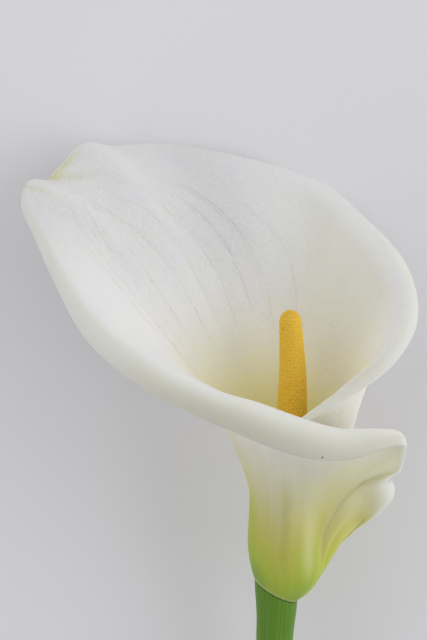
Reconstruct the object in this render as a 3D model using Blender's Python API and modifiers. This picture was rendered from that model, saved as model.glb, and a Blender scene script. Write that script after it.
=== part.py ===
"""Calla lily: one cut bloom lying on its side, with a short length of its stem.

The flower is shaped upright, in millimetres, with +z up the stem, -y towards the low front of
the funnel and -x towards the side that its tip leans to.  An empty then lays it down, front up,
so that it rests on two low places of the rolled rim and on the lower lip of the cut stem.
"""
import math

import bmesh
import bpy
import numpy as np
from mathutils import Matrix

MM = 0.001

# ---- the spathe, the white sheet wrapped into a funnel -----------------------------------------
SPATHE_THICKNESS = 1.0
TUBE_RADIUS = 12.0            # middle of the sheet, round the closed tube
TUBE_FLARE = 0.3              # what the tube gains in radius by its top
TUBE_SHIFT = 4.0              # the tube bulges to +x of the stem
TUBE_DRIFT = 1.0              # and drifts a little further up
LAYER_OUT = 0.85              # the outer margin stands this far out of the tube's radius
LAYER_STEP = 1.9              # from there to the inner margin
FOOT_CENTRE = 1.2             # x of the ring where the sheet joins the stem
FOOT_RADIUS = 6.9
FOOT_HEIGHT = -1.5
FOOT_SLANT = 3.8              # that ring is oblique, high at -x and low at +x
FOOT_BULGE = 14.0             # height over which the foot widens into the tube
FOOT_SEAM = 88.0              # azimuth at which both margins start, in degrees
FOOT_TURN = 356.0             # how far round the foot goes from margin to margin
HANDLE_UP = 14.0              # the funnel leaves the tube upright over this height
HANDLE_IN = 0.30              # and reaches its crest along its lean over this share
DETAIL_REACH = 2.2            # stations over which the small turns of the rim are evened out

# The rim, station by station from the outer margin round to the inner one.
# Azimuth 0 is the front, 90 is +x; the tube lets go of the sheet at "leave"; x, y, z is the
# crest, where the sheet turns over; it leans up by "lean" there, and rolls outwards through
# "roll" degrees round "radius"; "belly" pushes the funnel wall outwards below it.
# azimuth, leave,   x,   y,   z, lean, roll, radius, belly
RIM = [
    (98, 3, 18.6, 1.5, 8, -40, 40, 1.2, 0),         # foot of the outer margin
    (88, 5, 22.6, 1.5, 14, -25, 50, 1.4, 2),
    (78, 9, 28.8, 0, 22, -22, 60, 1.8, 3),          # edge of the pouch
    (69, 12, 32.2, -3, 29.5, -15, 110, 2.2, 4),
    (66, 14, 33.4, -6, 35.5, -5, 245, 4.0, 4),      # lobe, rolled into a scroll
    (63, 16, 33.6, -7.5, 39.3, 0, 270, 4.3, 3),
    (61, 17.5, 33.4, -9, 42.6, 5, 265, 3.4, 3),
    (59.6, 18.5, 33.8, -10.8, 45, 5, 180, 0.9, 3),  # pinch
    (57, 20, 38, -13, 47.5, 0, 40, 1.2, 3),         # flap
    (54, 22, 39.3, -16, 53, 0, 70, 1.6, 3),
    (50, 25, 38.4, -20, 61, 5, 110, 2.6, 3),        # outer corner
    (38, 29, 31, -31, 66, 10, 120, 3.6, 2),
    (22, 33, 19, -37, 68, 12, 135, 5.2, 1),
    (3, 34, 7, -41, 72.6, 12, 140, 5.9, 0),         # front
    (-18, 33, -7, -43, 78.3, 12, 140, 5.6, 0),
    (-36, 32, -21, -42, 82.3, 15, 135, 4.7, 0),
    (-55, 32, -39, -35, 90, 15, 125, 4.8, 0),
    (-74, 32, -54, -21, 98, 15, 115, 4.4, 0),       # left
    (-92, 33, -66, -3, 109, 15, 105, 3.4, 0),
    (-108, 34, -76, 15, 121, 10, 90, 2.8, 0),
    (-114, 34, -81, 23, 126.5, 5, 90, 2.0, 0),
    (-118, 34, -80, 28, 132.3, 0, 70, 1.6, 0),      # tip
    (-122, 34, -75, 32, 132.3, 15, 60, 1.2, 0),     # notch beside the tip
    (-126, 34, -70, 38, 136, 10, 50, 1.4, 0),
    (-132, 34, -63, 45, 142, 10, 60, 2.0, 0),       # shoulder
    (-140, 34, -53, 51, 140, 20, 60, 3.5, 0),
    (-150, 34, -38, 55, 140, 20, 60, 3.5, 0),
    (-168, 34, -14, 50.5, 137, 25, 60, 3.0, 0),     # back
    (-190, 34, 13, 50, 129, 25, 80, 4.5, 0),
    (-214, 34, 28, 35, 119, 25, 90, 4.5, 0),
    (-238, 30, 39, 17, 108, 25, 100, 4.2, 4),
    (-262, 28, 41, 0, 96, 25, 100, 3.6, 7),         # right
    (-285, 30, 33, -11.5, 85, 30, 95, 3.8, 9),
    (-308, 36, 21.5, -18.5, 76.2, 35, 95, 3.2, 5),
    (-330, 38, 10, -21.8, 68, 40, 85, 2.5, -1),
    (-352, 38, -1, -16, 57, 45, 50, 1.6, 0),        # lip of the inner margin
]
RIM_COLUMNS = 2               # columns of the mesh between two stations
BLADE_ROWS = 14               # rows from the foot to the crest
ROLL_ROWS = 5                 # rows round the rolled edge

# ---- the stem ----------------------------------------------------------------------------------
STEM_RADIUS = 6.2
STEM_TOP_RADIUS = 7.2         # it swells to meet the foot of the spathe
STEM_SWELL = 16.0
STEM_LENGTH = 135.0           # from the foot of the spathe to the cut
STEM_X = 0.9
STEM_BOW = 3.0                # sideways, over the whole length
STEM_CUT_SLANT = 30.0         # degrees, the lower lip is the longer one
STEM_LEDGE_GAP = 0.8          # below the middle of the sheet's lower edge
NECK_RADIUS = 5.7             # the part inside the spathe, which carries the spadix
NECK_TOP = 4.0
STEM_SIDES = 24

# ---- the spadix, the upright column of tiny florets ---------------------------------------------
SEAT_GAP = 0.3
FEMALE_TOP = 24.0             # ovaries below, stamens above
SPADIX_TOP = 96.0
SPADIX_BASE_RADIUS = 4.6
SPADIX_RADIUS = 5.2
SPADIX_TIP_RADIUS = 3.5
SPADIX_LEAN = 4.6             # how far its middle stands to +x of the stem
STAMEN_COLUMNS = 27           # lattice points round; every third one is a floret
STAMEN_HEIGHT = 0.35
OVARY_COLUMNS = 15
OVARY_HEIGHT = 0.8

# ---- how it lies ---------------------------------------------------------------------------------
LIE_PITCH = 10.53             # degrees, the bloom's end is higher than the cut
LIE_ROLL = 0.73               # degrees
LIE_DROP = 31.67              # the lowest places are this far below the tube's foot
LIE_SHIFT = (18.32, -6.16)    # brings the middle of the lying flower over the origin
FLAT_DEPTH = 0.4              # how deep the lowest places are flattened


def smooth(value, low, high):
    """0 below low, 1 above high, and an S-shaped step between."""
    t = np.clip((value - low) / (high - low), 0, 1)
    return t * t * (3 - 2 * t)


def foot_height(azimuth):
    """Height of the ring where the sheet grows out of the stem; azimuth in degrees."""
    return FOOT_HEIGHT - FOOT_SLANT * np.sin(np.radians(azimuth))


def through(points, where):
    """Catmull-Rom curve through the points, read at fractional indices."""
    p = np.asarray(points, float)
    p = np.vstack([2 * p[0] - p[1], p, 2 * p[-1] - p[-2]])
    i = np.clip(np.floor(where).astype(int), 0, len(points) - 2)
    t = (where - i)[:, None]
    a, b, c, d = p[i], p[i + 1], p[i + 2], p[i + 3]
    return 0.5 * (2 * b + (c - a) * t + (2 * a - 5 * b + 4 * c - d) * t**2
                  + (3 * b - a - 3 * c + d) * t**3)


def unit(v):
    return v / np.linalg.norm(v, axis=-1, keepdims=True)


def wrap_share(azimuth):
    """0 at the outer margin, 1 at the inner margin."""
    return (RIM[0][0] - azimuth) / (RIM[0][0] - RIM[-1][0])


def tube_point(height, azimuth):
    """A point of the sheet's middle on the foot or the tube."""
    share = wrap_share(azimuth)
    seam = FOOT_SEAM - FOOT_TURN * share
    above = height - foot_height(seam)
    turn = np.radians(seam + (azimuth - seam) * smooth(above, 3, 16))
    seam = np.radians(seam)
    widen = 1 - (1 - np.clip(above / FOOT_BULGE, 0, 1)) ** 2
    layer = (LAYER_OUT - LAYER_STEP * share) * smooth(above, 0.5, 4)
    radius = TUBE_RADIUS + TUBE_FLARE * smooth(height, 30, 45)
    centre = TUBE_SHIFT + TUBE_DRIFT * smooth(height, 10, 45)
    foot = np.stack([FOOT_CENTRE + FOOT_RADIUS * np.sin(seam), -FOOT_RADIUS * np.cos(seam)], -1)
    tube = np.stack([centre + radius * np.sin(turn), -radius * np.cos(turn)], -1)
    spiral = np.stack([np.sin(turn), -np.cos(turn)], -1) * layer[:, None]
    flat = foot + (tube - foot) * widen[:, None] + spiral
    return np.concatenate([flat, height[:, None]], -1)


def evened(line, reach):
    """The line with its small turns averaged out, its ends kept."""
    weights = np.hanning(2 * reach + 3)[1:-1]
    weights /= weights.sum()
    before = 2 * line[:1] - line[reach:0:-1]
    after = 2 * line[-1:] - line[-2:-reach - 2:-1]
    padded = np.concatenate([before, line, after])
    return np.stack([np.convolve(padded[:, k], weights, "valid") for k in range(3)], 1)


def by_length(rows, count):
    """Each column's points, read again at even steps of its length."""
    step = np.linalg.norm(np.diff(rows, axis=1), axis=2)
    run = np.concatenate([np.zeros((len(rows), 1)), np.cumsum(step, 1)], 1)
    run /= run[:, -1:]
    wanted = np.linspace(0, 1, count + 1)
    return np.stack([np.stack([np.interp(wanted, run[i], rows[i, :, k]) for k in range(3)], -1)
                     for i in range(len(rows))])


def spathe_sheet(columns_each, blade_rows, roll_rows):
    """Middle of the spathe's sheet: columns x rows of points, foot first, rolled edge last."""
    count = (len(RIM) - 1) * columns_each + 1
    where = np.linspace(0, len(RIM) - 1, count)
    azimuth, leave, x, y, z, lean, roll, radius, belly = through(RIM, where).T
    crest = np.stack([x, y, z], 1)
    along = unit(np.gradient(crest, axis=0))
    centre = TUBE_SHIFT + TUBE_DRIFT * smooth(z, 10, 45)
    outward = unit(np.stack([x - centre, y, 0 * x], 1))
    lean = np.radians(lean)[:, None]
    reach = outward * np.cos(lean) + np.array([0, 0, 1.0]) * np.sin(lean)
    over = unit(reach - (reach * along).sum(1)[:, None] * along)
    under = np.cross(over, along)

    # the foot and the tube
    rows = []
    foot = foot_height(FOOT_SEAM - FOOT_TURN * wrap_share(azimuth))
    tube_steps = 40
    for j in range(tube_steps + 1):
        rows.append(tube_point(foot + (leave - foot) * j / tube_steps, azimuth))

    # the funnel wall, a Bezier curve in each column up to the crest
    start = rows[-1]
    up = unit(rows[-1] - rows[-2])
    spread = round(DETAIL_REACH * columns_each)
    broad, aim = evened(crest, spread), unit(evened(reach, spread))
    length = np.linalg.norm(broad - start, axis=1)[:, None]
    low = start + up * np.minimum(HANDLE_UP, 0.45 * length) + outward * belly[:, None]
    high = broad - aim * length * HANDLE_IN + outward * belly[:, None]
    wall_steps = 60
    for j in range(1, wall_steps + 1):
        f = j / wall_steps
        wall = ((1 - f) ** 3 * start + 3 * (1 - f) ** 2 * f * low
                + 3 * (1 - f) * f**2 * high + f**3 * broad)
        rows.append(wall + (crest - broad) * smooth(f, 0.35, 1.0) ** 1.5)
    blade = by_length(np.stack(rows, 1), blade_rows)

    # the edge, rolled outwards and under
    edge = []
    for j in range(1, roll_rows + 1):
        turn = (np.radians(roll) * j / roll_rows)[:, None]
        ring = np.sin(turn) * over + (1 - np.cos(turn)) * under
        edge.append(crest + radius[:, None] * ring)
    return np.concatenate([blade, np.stack(edge, 1)], 1)


def material(name, colour, roughness):
    """A Principled material with a plain sRGB colour."""
    made = bpy.data.materials.new(name)
    made.use_nodes = True
    shader = made.node_tree.nodes["Principled BSDF"]
    linear = [c / 12.92 if c <= 0.04045 else ((c + 0.055) / 1.055) ** 2.4 for c in colour]
    shader.inputs["Base Color"].default_value = (*linear, 1.0)
    shader.inputs["Roughness"].default_value = roughness
    shader.inputs["Metallic"].default_value = 0.0
    return made


def add_object(name, mesh_data, collection, holder, surface):
    made = bpy.data.objects.new(name, mesh_data)
    collection.objects.link(made)
    made.parent = holder
    mesh_data.materials.append(surface)
    return made


def mesh_from(name, points, faces):
    """A mesh from points in millimetres, faces pointing out, shaded smooth."""
    made = bpy.data.meshes.new(name)
    made.from_pydata([[c * MM for c in p] for p in points], [], faces)
    made.shade_smooth()
    return made


def flatten_below(target, table):
    """Cut away what would sink into the surface that the flower lies on."""
    cut = target.modifiers.new("rest flats", "BOOLEAN")
    cut.operation = "DIFFERENCE"
    cut.object = table


def make_spathe(collection, holder, table):
    sheet = spathe_sheet(RIM_COLUMNS, BLADE_ROWS, ROLL_ROWS)
    columns, rows = sheet.shape[:2]
    faces = []
    for i in range(columns - 1):
        for j in range(rows - 1):
            a, b = i * rows + j, (i + 1) * rows + j
            faces.append((a, b, b + 1))
            faces.append((a, b + 1, a + 1))
    data = mesh_from("spathe", sheet.reshape(-1, 3).tolist(), faces)
    spathe = add_object("spathe", data, collection, holder,
                        material("spathe_white", (0.90, 0.90, 0.87), 0.45))
    wall = spathe.modifiers.new("thickness", "SOLIDIFY")
    wall.thickness = SPATHE_THICKNESS * MM
    wall.offset = 0.0
    wall.use_even_offset = False
    flatten_below(spathe, table)
    return spathe


def loft(rings, first_centre, last_centre):
    """Points and triangles of a closed body through rings of equal count."""
    count = len(rings[0])
    points = [p for ring in rings for p in ring] + [first_centre, last_centre]
    faces = []
    for j in range(len(rings) - 1):
        for i in range(count):
            a, b = j * count + i, j * count + (i + 1) % count
            faces.append((a, b, b + count))
            faces.append((a, b + count, a + count))
    foot, head = len(points) - 2, len(points) - 1
    top = (len(rings) - 1) * count
    for i in range(count):
        n = (i + 1) % count
        faces.append((n, i, foot))
        faces.append((top + i, top + n, head))
    return points, faces


def stem_centre(height):
    """Middle of the stem at a height; it bows a little to -x on its way down."""
    down = np.clip(-height / STEM_LENGTH, 0, 1)
    return STEM_X + (FOOT_CENTRE - STEM_X) * smooth(height, -STEM_SWELL, 0) - STEM_BOW * down**2


def make_stem(collection, holder, table):
    """From the slanted cut up to the ledge under the spathe, and the neck inside it."""
    azimuths = np.linspace(0, 360, STEM_SIDES, endpoint=False)
    ledge = foot_height(azimuths) - STEM_LEDGE_GAP
    turn = np.radians(azimuths)
    slope = math.tan(math.radians(STEM_CUT_SLANT))
    cut = FOOT_HEIGHT - STEM_LENGTH + STEM_RADIUS * slope * np.cos(turn)
    rings = []
    levels = [0, 0.02, 0.12, 0.25, 0.4, 0.55, 0.7, 0.82, 0.88, 0.92, 0.96, 0.99, 1.0]
    for share in levels:
        height = cut + (ledge - cut) * share
        swell = smooth(height - ledge, -STEM_SWELL, 0)
        radius = STEM_RADIUS + (STEM_TOP_RADIUS - STEM_RADIUS) * swell
        rings.append(ring_at(stem_centre(height), radius, turn, height))
    rings.append(ring_at(FOOT_CENTRE + 0 * ledge, NECK_RADIUS, turn, ledge + 0.05))
    rings.append(ring_at(FOOT_CENTRE + 0 * ledge, NECK_RADIUS, turn, NECK_TOP + 0 * ledge))
    foot = (stem_centre(cut.mean()), 0, cut.mean())
    points, faces = loft(rings, foot, (FOOT_CENTRE, 0, NECK_TOP))
    stem = add_object("stem", mesh_from("stem", points, faces), collection, holder,
                      material("stem_green", (0.33, 0.48, 0.17), 0.5))
    flatten_below(stem, table)
    return stem


def ring_at(centre, radius, turn, height):
    return np.stack([centre + radius * np.sin(turn), -radius * np.cos(turn), height], 1).tolist()


def spadix_radius(height):
    body = SPADIX_RADIUS - (SPADIX_RADIUS - SPADIX_TIP_RADIUS) * smooth(height, 40, SPADIX_TOP)
    return body - (SPADIX_RADIUS - SPADIX_BASE_RADIUS) * (1 - smooth(height, 4, 20))


def spadix_centre(height):
    """The column leaves the stem's middle and leans to +x, then back a little at its tip."""
    return FOOT_CENTRE + SPADIX_LEAN * smooth(height, 4, 55) - 1.2 * smooth(height, 55, SPADIX_TOP)


def spadix_profile(bottom, top, rounded):
    """Height and radius every 0.1 mm or so of the profile, with a domed end if it is rounded."""
    heights = np.arange(bottom, top, 0.1)
    radii = spadix_radius(heights)
    if rounded:
        dome = top - SPADIX_TIP_RADIUS * 1.3
        heights = heights[heights < dome]
        radii = spadix_radius(heights)
        turn = np.linspace(0, math.radians(80), 60)
        tip = radii[-1]
        heights = np.concatenate([heights, dome + (top - dome) * np.sin(turn)])
        radii = np.concatenate([radii, tip * np.cos(turn)])
    return heights, radii


def floret_column(name, bottom, top, columns, height, rounded, collection, holder, surface):
    """A column of florets: a lattice of points in offset rows, every third one raised."""
    heights, radii = spadix_profile(bottom, top, rounded)
    run = np.concatenate([[0], np.cumsum(np.hypot(np.diff(heights), np.diff(radii)))])
    pitch = 2 * math.pi * SPADIX_RADIUS / columns
    rows = max(3, round(run[-1] / (pitch * math.sqrt(3) / 2)))
    where = np.linspace(0, run[-1], rows + 1)
    heights, radii = np.interp(where, run, heights), np.interp(where, run, radii)
    slope = np.gradient(heights, where)
    rings = []
    for j in range(rows + 1):
        turn = (np.arange(columns) + j / 2) * 2 * math.pi / columns
        raised = (np.arange(columns) - j) % 3 == 0
        lift = np.where(raised & (0 < j < rows), height, 0) * min(1, radii[j] / SPADIX_TIP_RADIUS)
        radius = radii[j] - height / 2 + lift * slope[j]
        level = heights[j] + lift * math.sqrt(max(0, 1 - slope[j] ** 2))
        rings.append(ring_at(spadix_centre(heights[j]), radius, turn, level + 0 * turn))
    ends = [(spadix_centre(h), 0, h) for h in (bottom, top)]
    points, faces = loft(rings, *ends)
    return add_object(name, mesh_from(name, points, faces), collection, holder, surface)


def make_spadix(collection, holder):
    floret_column("spadix_female_zone", NECK_TOP + SEAT_GAP, FEMALE_TOP, OVARY_COLUMNS,
                  OVARY_HEIGHT, False, collection, holder,
                  material("ovary_green", (0.72, 0.76, 0.45), 0.6))
    floret_column("spadix_male_zone", FEMALE_TOP + SEAT_GAP, SPADIX_TOP, STAMEN_COLUMNS,
                  STAMEN_HEIGHT, True, collection, holder,
                  material("pollen_yellow", (0.83, 0.63, 0.17), 0.75))


def new_collection(name):
    made = bpy.data.collections.new(name)
    bpy.context.scene.collection.children.link(made)
    return made


def make_table(collection):
    """Cutter: the block below the surface that the flower lies on."""
    bpy.ops.mesh.primitive_cube_add(size=1.0, location=(0, 0, -0.05))
    table = bpy.context.object
    table.name = "rest_plane_cutter"
    table.data.transform(Matrix.Diagonal((0.5, 0.5, 0.1, 1.0)))
    for old in table.users_collection:
        old.objects.unlink(table)
    collection.objects.link(table)
    table.hide_render = True
    table.display_type = "WIRE"
    return table


def main():
    for old in list(bpy.data.objects):
        bpy.data.objects.remove(old, do_unlink=True)
    flower = new_collection("calla_lily_flower")
    cutters = new_collection("cutters")
    holder = bpy.data.objects.new("lie", None)
    flower.objects.link(holder)
    turn = Matrix.Rotation(math.radians(LIE_PITCH - 90), 4, "X")
    tilt = Matrix.Rotation(math.radians(LIE_ROLL), 4, "Y")
    place = Matrix.Translation((LIE_SHIFT[0] * MM, LIE_SHIFT[1] * MM, (LIE_DROP - FLAT_DEPTH) * MM))
    holder.matrix_world = place @ tilt @ turn
    table = make_table(cutters)
    make_spathe(flower, holder, table)
    make_stem(flower, holder, table)
    make_spadix(flower, holder)


if __name__ == "__main__":
    main()
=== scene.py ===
"""Looks of the calla lily: a finer spathe, spadix and stem over the CAD solids, light and camera.

Each piece is shaped as the flower stands upright, in millimetres: +z up the stem, -y towards the
low front of the funnel.  The lay_down function then puts it where the CAD solids lie.
"""

import math
from functools import partial

import bpy
import numpy as np
from mathutils import Matrix, Vector
from mathutils.kdtree import KDTree


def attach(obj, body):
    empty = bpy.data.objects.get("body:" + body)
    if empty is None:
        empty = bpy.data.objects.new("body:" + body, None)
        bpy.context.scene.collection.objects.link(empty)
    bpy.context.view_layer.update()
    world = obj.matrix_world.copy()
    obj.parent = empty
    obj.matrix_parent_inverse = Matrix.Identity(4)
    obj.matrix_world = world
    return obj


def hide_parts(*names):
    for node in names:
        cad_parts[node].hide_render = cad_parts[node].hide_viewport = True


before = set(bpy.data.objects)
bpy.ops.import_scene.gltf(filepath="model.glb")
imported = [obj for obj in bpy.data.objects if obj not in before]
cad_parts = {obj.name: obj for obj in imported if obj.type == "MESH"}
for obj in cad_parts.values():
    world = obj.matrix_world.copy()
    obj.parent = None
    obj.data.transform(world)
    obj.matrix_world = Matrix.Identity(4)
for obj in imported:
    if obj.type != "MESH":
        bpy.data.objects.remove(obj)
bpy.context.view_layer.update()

MM = 0.001

# ---- how the flower lies, as in the CAD ----------------------------------------------
LIE_PITCH = 10.53
LIE_ROLL = 0.73
LIE_DROP = 31.67
LIE_SHIFT = (18.32, -6.16)
FLAT_DEPTH = 0.4
LYING_LOW = (-0.06485, -0.1426, 0.0)     # the flower lies inside this box, in metres
LYING_HIGH = (0.06485, 0.1426, 0.0938)

# ---- the spathe's sheet --------------------------------------------------------------
SPATHE_THICKNESS = 0.9
EDGE_THICKNESS = 0.5          # share of the thickness that is left at the free edge
TUBE_RADIUS = 12.0
TUBE_FLARE = 0.3              # how much wider the tube is at its top
TUBE_SHIFT = 4.0              # how far right its middle stands
TUBE_DRIFT = 1.0              # and how much further at its top
LAYER_OUT = 0.85              # how far outside the radius the outer margin runs
LAYER_STEP = 1.9              # and how much further in the inner margin
FOOT_CENTRE = 1.2
FOOT_RADIUS = 6.9
FOOT_HEIGHT = 0.2
FOOT_SLANT = 3.8              # how much lower the foot ring is at the right
FOOT_BULGE = 14.0             # height over which the foot widens to the tube
FOOT_SEAM = 88.0              # azimuth at which the outer margin stands in the foot ring
FOOT_TURN = 356.0             # degrees from there round to the inner margin
HANDLE_UP = 14.0              # lower handle of the wall's curve
HANDLE_IN = 0.30              # upper handle, as a share of the wall's length
DETAIL_REACH = 2.2            # stations over which the wall evens out the rim's small turns
TUBE_ROWS = 60
WALL_ROWS = 120

# The rim, station by station from the outer margin round to the inner one: degrees round the tube
# from the front, positive to the right; the height at which the sheet leaves the tube; the place of
# the crest; how steeply the wall arrives there; degrees by which the edge rolls over, negative where
# it is rounded back; the radius of that roll; and how far the wall bellies out.
# azimuth, leave,   x,   y,   z, lean, roll, radius, belly
RIM = [
    (98, 3, 18.0, 2.5, 8, -40, 20, 0.8, 0),         # foot of the outer margin
    (88, 5, 22.0, 3.0, 14, -25, 10, 0.8, 2),
    (78, 9, 28.4, 0, 22, -22, -10, 1.4, 3),         # edge of the pouch
    (69, 12, 31.6, -5, 28.0, -15, -80, 2.8, 4),
    (66, 14, 32.3, -9, 32.6, -5, -130, 4.6, 4),     # lobe, rounded back
    (63, 16, 32.1, -11, 36.2, -10, -150, 4.8, 3),
    (61, 17.5, 32.0, -12, 39.4, -5, -150, 4.4, 3),
    (59.6, 18.5, 32.3, -12.3, 42.2, 5, -130, 2.2, 3),    # pinch
    (57, 20, 39.0, -11, 44.8, 0, 30, 1.0, 3),       # flap
    (54, 22, 39.8, -14.5, 51.5, 0, 60, 1.4, 3),
    (50, 25, 38.4, -20, 61, 5, 110, 2.6, 3),        # outer corner
    (38, 29, 31, -31, 66, 10, 120, 3.6, 2),
    (22, 33, 19, -37, 68, 12, 135, 5.2, 1),
    (3, 34, 7, -41, 72.6, 12, 140, 5.9, 0),         # front
    (-18, 33, -7, -43, 78.3, 12, 140, 5.6, 0),
    (-36, 32, -21, -42, 82.3, 15, 135, 4.7, 0),
    (-55, 32, -39, -35, 90, 15, 125, 4.8, 0),
    (-74, 32, -54, -21, 98, 15, 115, 4.4, 0),       # left
    (-92, 33, -66, -3, 109, 15, 105, 3.4, 0),
    (-108, 34, -76, 15, 121, 10, 90, 2.8, 0),
    (-114, 34, -81, 23, 126.5, 5, 90, 2.0, 0),
    (-118, 34, -80, 28, 132.3, 0, 70, 1.6, 0),      # tip
    (-122, 34, -75, 32, 132.3, 15, 60, 1.2, 0),     # notch beside the tip
    (-126, 34, -70, 38, 136, 10, 50, 1.4, 0),
    (-132, 34, -63, 45, 142, 10, 60, 2.0, 0),       # shoulder
    (-140, 34, -53, 51, 140, 20, 60, 3.5, 0),
    (-150, 34, -38, 55, 140, 20, 60, 3.5, 0),
    (-168, 34, -14, 50.5, 137, 25, 60, 3.0, 0),     # back
    (-190, 34, 13, 50, 129, 25, 80, 4.5, 0),
    (-214, 34, 28, 35, 119, 25, 90, 4.5, 0),
    (-238, 30, 39, 17, 108, 25, 100, 4.2, 4),
    (-262, 28, 41, 0, 96, 25, 100, 3.6, 7),         # right
    (-285, 30, 33, -11.5, 85, 30, 95, 3.8, 9),
    (-308, 36, 21.5, -18.5, 76.2, 35, 95, 3.2, 5),
    (-330, 38, 10, -21.8, 68, 40, 85, 2.5, -1),
    (-352, 38, -1, -16, 57, 45, 50, 1.6, 0),        # lip of the inner margin
]
RIM_COLUMNS = 9
BLADE_ROWS = 84
ROLL_ROWS = 18

# ---- veins, creases and folds of the spathe ------------------------------------------
TIP_AZIMUTH = -122.0          # the veins run up the funnel and bend over towards the tip
VEIN_REACH = 220.0            # degrees from the tip's vein to the ones that run along the margins
VEIN_CLING = 8.0              # how late they bend: high for only near the rim
# broad folds pressed into the sheet: vein coordinate and depth, half width, start and end on the blade
FOLDS = [
    (29, 0.40, 3.0, 0.45, 1.00),
    (4, 0.25, 2.5, 0.50, 0.90),
    (-14, 0.30, 3.0, 0.45, 0.90),
    (-27, 0.40, 3.0, 0.45, 0.95),
    (-48, 0.35, 4.0, 0.45, 0.95),
    (-72, 0.30, 4.0, 0.50, 0.92),
]
# fine creases drawn by the skin's bump: vein coordinate in degrees and depth from 0 to 1
CREASES = [(40, 0.5), (27, 1.0), (14, 0.4), (5, 0.7), (-5, 0.6), (-14, 0.5), (-25, 1.0),
           (-38, 0.6), (-52, 0.7), (-72, 0.4)]
CREASE_WIDTH = 0.8
CREASE_SPAN = (-100.0, 60.0)
# the crepe of the inner face is drawn out along this way, up and to the left
CREPE_ALONG = np.array([-0.68, 0.25, 0.69])
CREPE_STRETCH = 0.55
# the fold that runs inwards from the notch beside the tip
NOTCH_AZIMUTH = -122.5
NOTCH_TURN = 62.0
NOTCH_START = 0.84
NOTCH_DEPTH = 0.9
NOTCH_WIDTH = 1.1
NOTCH_EDGE = (122.3, 123.2, 127.0, 130.5)    # degrees to the left between which its edge is green
TIP_LINE_AZIMUTH = -116.8                    # and the fine green line on the other side of the tip
TIP_LINE_WIDTH = 0.35
# soft bands over the sheet: azimuth of the middle, half width, and the shares of the blade at which
# the band starts, is full, begins to fade and ends
FLAP_FOLD = (55.0, 1.0, 0.70, 0.90, 0.93, 1.00)      # a fold down the flap
GROOVE = (-3.0, 9.0, 0.06, 0.20, 0.40, 0.56)         # a groove up the front of the tube, with painted shade in it
TUBE_HIGHLIGHT = (34.0, 12.0, 0.10, 0.25, 0.50, 0.65)    # a paler band to the right of it, a painted highlight
WING_VALLEY_SHADE = (62.0, 7.0, 0.30, 0.50, 0.66, 0.85)    # the valley between the tube and the wing, darkened by painted shade
PILLOW = (70.0, 6.0, 0.40, 0.75, 0.90, 1.05)         # the soft bulge of the wing below the lobe
FLAP_FOLD_DEPTH = 1.0
GROOVE_DEPTH = 0.35
PILLOW_HEIGHT = 1.8
# the sheet is eased in so many rounds beside the tube and at the pinch between lobe and flap
EASE_ROUNDS = 40
PINCH_AZIMUTH = 60.0
PINCH_WIDTH = 1.6
PINCH_EASE = 0.9

# ---- colour of the spathe by place ---------------------------------------------------
GREEN_BASE = 9.5              # height that is added before the green-to-white ramp, in millimetres
GREEN_LEFT = 14.0             # how much higher the green climbs at the left of the tube
GREEN_RIGHT = 5.0
GREEN_WING = 3.0              # and how much lower on the wing
STREAK_RISE = 7.0             # how far the streaks carry the green up and down
BROAD_RISE = 12.0
GREEN_RANGE = (-20.0, 60.0)   # levels at the two ends of that ramp
THROAT_PLACE = (-1.0, 0.0, 44.0)    # the inner face is yellowest round this place in the tube's mouth
THROAT_STREAKS = 8.0
THROAT_RANGE = (12.0, 66.0)   # distances at the two ends of the inner ramp
# shade painted into the groove and the valley beside the wing, and a highlight painted right of the
# groove
GROOVE_SHADE_TINT = 0.35
HIGHLIGHT_TINT = 0.35
VALLEY_SHADE_TINT = 0.4
NOTCH_TINT = 0.8
# painted shade that greys the right half of the inner wall
PAINTED_BACK_SHADE_AMOUNT = 0.8
FOOT_TINT = 0.4
SPECK_PLACE = (13.0, -45.8, 62.3)    # one small brown speck under the front of the rim
SPECK_RADIUS = 0.65

# ---- the spadix ----------------------------------------------------------------------
NECK_TOP = 4.0
SEAT_GAP = 0.3
FEMALE_TOP = 24.0
SPADIX_TOP = 96.0
SPADIX_BASE_RADIUS = 4.6
SPADIX_RADIUS = 5.0
SPADIX_TIP_RADIUS = 3.5
SPADIX_LEAN = 4.7             # how far right it leans over its lower half
SPADIX_NOD = 1.1              # and back again towards its tip
SPADIX_WIDENS = (4.0, 20.0)   # heights between which it widens, leans, tapers and nods
SPADIX_LEANS = (4.0, 55.0)
SPADIX_TAPERS = (55.0, 103.0)
SPADIX_NODS = (72.0, 100.0)
ANTHER_PITCH = 1.25
ANTHER_RELIEF = 0.24
OVARY_PITCH = 2.2
OVARY_RELIEF = 0.8
ANTHER_DETAIL = 0.26          # spacing of the mesh
OVARY_DETAIL = 0.30
ANTHER_SEED = 11
OVARY_SEED = 21
PLACE_DRAW = 0.16             # how far a floret is drawn aside, as a share of the pitch
ROW_PITCH_SHARE = 0.866       # rows of florets nest between each other, as in a honeycomb
TIP_HEIGHT_SHARE = 1.3        # how high the rounded tip is for its radius
PROFILE_STEP = 0.05

# ---- the stem ------------------------------------------------------------------------
STEM_RADIUS = 6.2
STEM_TOP_RADIUS = 7.2
STEM_SWELL = 16.0
STEM_LENGTH = 136.2
STEM_X = 0.9
STEM_BOW = 3.0
STEM_CUT_SLANT = 30.0
STEM_LEDGE_GAP = 0.8
NECK_RADIUS = 5.7
STEM_COLUMNS = 145
STEM_ROWS = 150
STEM_RIBS = ((17, 0.02, 0.0), (29, 0.01, 1.0))    # how many round the stem, height and phase
CUT_SINK = 0.25               # how deep the spongy face of the cut has dried in

# ---- camera, in the upright flower's frame -------------------------------------------
CAMERA_RISE = 15.0            # degrees above the horizontal
CAMERA_DISTANCE = 570.0
CAMERA_AIM = (-19.7, 0.0, 92.7)
LENS = 100.0
SENSOR = 36.0

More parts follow.
